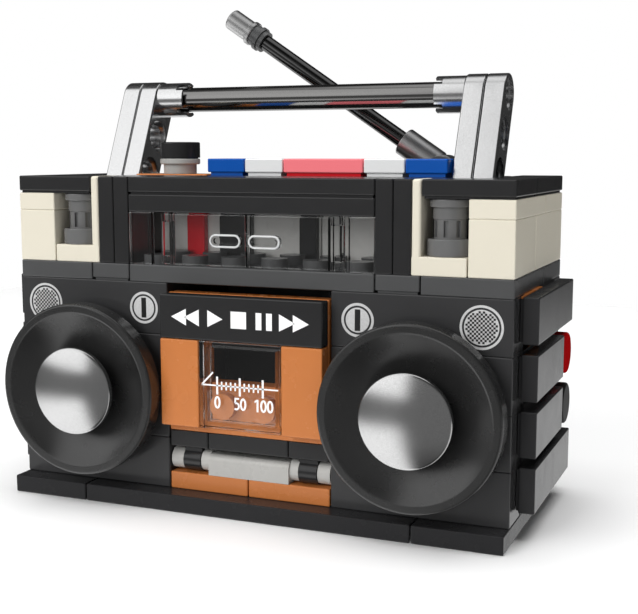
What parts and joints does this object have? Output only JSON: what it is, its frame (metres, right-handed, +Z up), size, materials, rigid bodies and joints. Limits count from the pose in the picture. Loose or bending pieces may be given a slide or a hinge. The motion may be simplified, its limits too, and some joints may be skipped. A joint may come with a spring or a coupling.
{
  "type": "toy boombox",
  "caption": "Brick-built toy boombox with round speakers, hinged cassette door, tuner doors, key row, carrying handle and swinging antenna.",
  "frame": {"origin": "on the table, below the middle of the whole model", "axes": "+X to the right along the front, +Y from the speakers to the back, +Z up"},
  "size_m": [0.1024, 0.049, 0.0942],
  "materials": {
    "black_abs": "moulded gloss black",
    "dark_grey_abs": "moulded dark grey",
    "cream_abs": "moulded cream",
    "brown_abs": "moulded light brown",
    "blue_abs": "moulded blue",
    "white_abs": "moulded white",
    "red_abs": "moulded red",
    "light_grey_abs": "moulded light grey",
    "silver_lacquer": "silver lacquer on plastic",
    "gunmetal_lacquer": "gun-metal lacquer on plastic",
    "clear_plastic": "clear"
  },
  "bodies": {
    "cabinet": {"base_plates": "black_abs", "front_bricks": "black_abs", "control_brick_left": "black_abs", "control_brick_right": "black_abs", "side_bricks": "black_abs", "rear_bricks": "black_abs", "bay_walls": "black_abs", "side_fins": "black_abs", "audio_jack_black": "black_abs", "speaker_cone_left": "black_abs", "speaker_cone_right": "black_abs", "speaker_mounts": "black_abs", "divider_plates": "black_abs", "cheek_bricks": "black_abs", "deck_plates": "black_abs", "header_tile": "black_abs", "corner_top_tiles": "black_abs", "deck_tiles": "black_abs", "compartment_posts": "black_abs", "key_bed_plates": "black_abs", "ledge_plates": "dark_grey_abs", "ledge_tiles": "dark_grey_abs", "handle_pins": "dark_grey_abs", "antenna_mount": "dark_grey_abs", "cream_bricks": "cream_abs", "cream_plates": "cream_abs", "cream_brackets": "cream_abs", "bay_floor_tiles": "brown_abs", "side_backing_plates": "brown_abs", "knob_bed_plate": "brown_abs", "key_tiles_blue": "blue_abs", "key_tiles_white": "white_abs", "key_tile_red": "red_abs", "audio_jack_red": "red_abs", "compartment_red_brick": "red_abs", "compartment_wall": "light_grey_abs", "hinge_bar": "light_grey_abs", "speaker_dome_left": "silver_lacquer", "speaker_dome_right": "silver_lacquer", "tuner_hinge_frames": "clear_plastic"},
    "handle": {"handle_arms_left": "silver_lacquer", "handle_arms_right": "silver_lacquer", "handle_bar": "gunmetal_lacquer", "handle_bushes": "silver_lacquer"},
    "antenna": {"antenna_socket": "silver_lacquer", "antenna_rod": "black_abs", "antenna_collar": "dark_grey_abs", "antenna_tip": "silver_lacquer"},
    "cassette_door": {"door_hinge_clips": "black_abs", "door_frame": "brown_abs", "door_band_tile": "black_abs", "door_side_tiles": "brown_abs", "door_window": "clear_plastic"},
    "tuner_leaf_left": {"tuner_door_left": "clear_plastic"},
    "tuner_leaf_right": {"tuner_door_right": "clear_plastic"},
    "knob": {"knob_base": "light_grey_abs", "knob_cap": "black_abs"},
    "drum_left": {"roller_left": "dark_grey_abs"},
    "drum_right": {"roller_right": "dark_grey_abs"}
  },
  "joints": [
    {"name": "handle_swing", "type": "hinge", "parent": "cabinet", "child": "handle", "pos_m": [0, 0.0034, 0.0539], "axis": [1, 0, 0], "range_deg": [0, 46]},
    {"name": "antenna_swing", "type": "hinge", "parent": "cabinet", "child": "antenna", "pos_m": [0.0256, 0.0206, 0.06185], "axis": [0, 1, 0], "range_deg": [-30, 110]},
    {"name": "cassette_door", "type": "hinge", "parent": "cabinet", "child": "cassette_door", "pos_m": [0, -0.013, 0.0087], "axis": [1, 0, 0], "range_deg": [0, 85]},
    {"name": "tuner_door_left", "type": "hinge", "parent": "cabinet", "child": "tuner_leaf_left", "pos_m": [-0.0165, -0.0134, 0.0496], "axis": [0, 0, -1], "range_deg": [0, 95]},
    {"name": "tuner_door_right", "type": "hinge", "parent": "cabinet", "child": "tuner_leaf_right", "pos_m": [0.0165, -0.0134, 0.0496], "axis": [0, 0, 1], "range_deg": [0, 95]},
    {"name": "volume_knob", "type": "hinge", "parent": "cabinet", "child": "knob", "pos_m": [-0.024, 0.0046, 0.0626], "axis": [0, 0, 1], "continuous": true},
    {"name": "drum_left_spin", "type": "hinge", "parent": "cabinet", "child": "drum_left", "pos_m": [-0.036, -0.0114, 0.0528], "axis": [0, 0, 1], "continuous": true},
    {"name": "drum_right_spin", "type": "hinge", "parent": "cabinet", "child": "drum_right", "pos_m": [0.036, -0.0114, 0.0528], "axis": [0, 0, 1], "continuous": true}
  ]
}
